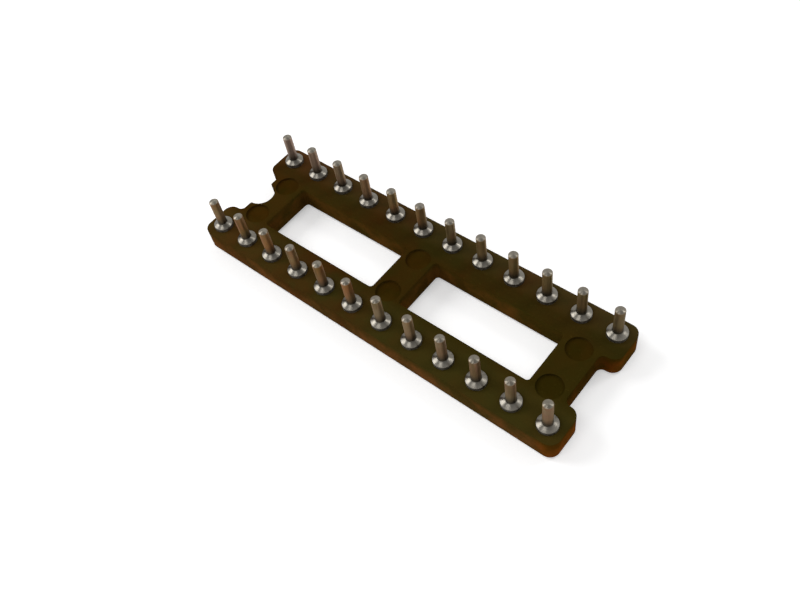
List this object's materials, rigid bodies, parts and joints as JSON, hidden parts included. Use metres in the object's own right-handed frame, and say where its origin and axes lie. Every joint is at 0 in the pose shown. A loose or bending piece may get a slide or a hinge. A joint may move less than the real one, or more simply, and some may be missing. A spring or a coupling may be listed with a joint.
{
  "type": "dual-in-line ic socket",
  "caption": "Open-frame dual-in-line IC socket: a moulded ladder-shaped carrier with two rows of turned sleeve contacts, lying tails up.",
  "frame": {"origin": "middle of the plane that the contact heads rest on, centred on both rows", "axes": "+X along the rows, away from the notched end; +Y across the rows; +Z to the tail tips"},
  "size_m": [0.0302, 0.0098, 0.0045],
  "materials": {
    "moulding": "glass-filled thermoplastic, dark olive brown, satin",
    "plated_sleeve": "turned brass, tin plated, dulled",
    "contact_clip": "beryllium copper strip, gold flashed"
  },
  "bodies": {
    "root": {"insulator_frame": "moulding", "sleeve_01": "plated_sleeve", "sleeve_02": "plated_sleeve", "sleeve_03": "plated_sleeve", "sleeve_04": "plated_sleeve", "sleeve_05": "plated_sleeve", "sleeve_06": "plated_sleeve", "sleeve_07": "plated_sleeve", "sleeve_08": "plated_sleeve", "sleeve_09": "plated_sleeve", "sleeve_10": "plated_sleeve", "sleeve_11": "plated_sleeve", "sleeve_12": "plated_sleeve", "sleeve_13": "plated_sleeve", "sleeve_14": "plated_sleeve", "sleeve_15": "plated_sleeve", "sleeve_16": "plated_sleeve", "sleeve_17": "plated_sleeve", "sleeve_18": "plated_sleeve", "sleeve_19": "plated_sleeve", "sleeve_20": "plated_sleeve", "sleeve_21": "plated_sleeve", "sleeve_22": "plated_sleeve", "sleeve_23": "plated_sleeve", "sleeve_24": "plated_sleeve", "contact_clip_01": "contact_clip", "contact_clip_02": "contact_clip", "contact_clip_03": "contact_clip", "contact_clip_04": "contact_clip", "contact_clip_05": "contact_clip", "contact_clip_06": "contact_clip", "contact_clip_07": "contact_clip", "contact_clip_08": "contact_clip", "contact_clip_09": "contact_clip", "contact_clip_10": "contact_clip", "contact_clip_11": "contact_clip", "contact_clip_12": "contact_clip", "contact_clip_13": "contact_clip", "contact_clip_14": "contact_clip", "contact_clip_15": "contact_clip", "contact_clip_16": "contact_clip", "contact_clip_17": "contact_clip", "contact_clip_18": "contact_clip", "contact_clip_19": "contact_clip", "contact_clip_20": "contact_clip", "contact_clip_21": "contact_clip", "contact_clip_22": "contact_clip", "contact_clip_23": "contact_clip", "contact_clip_24": "contact_clip"}
  },
  "joints": []
}
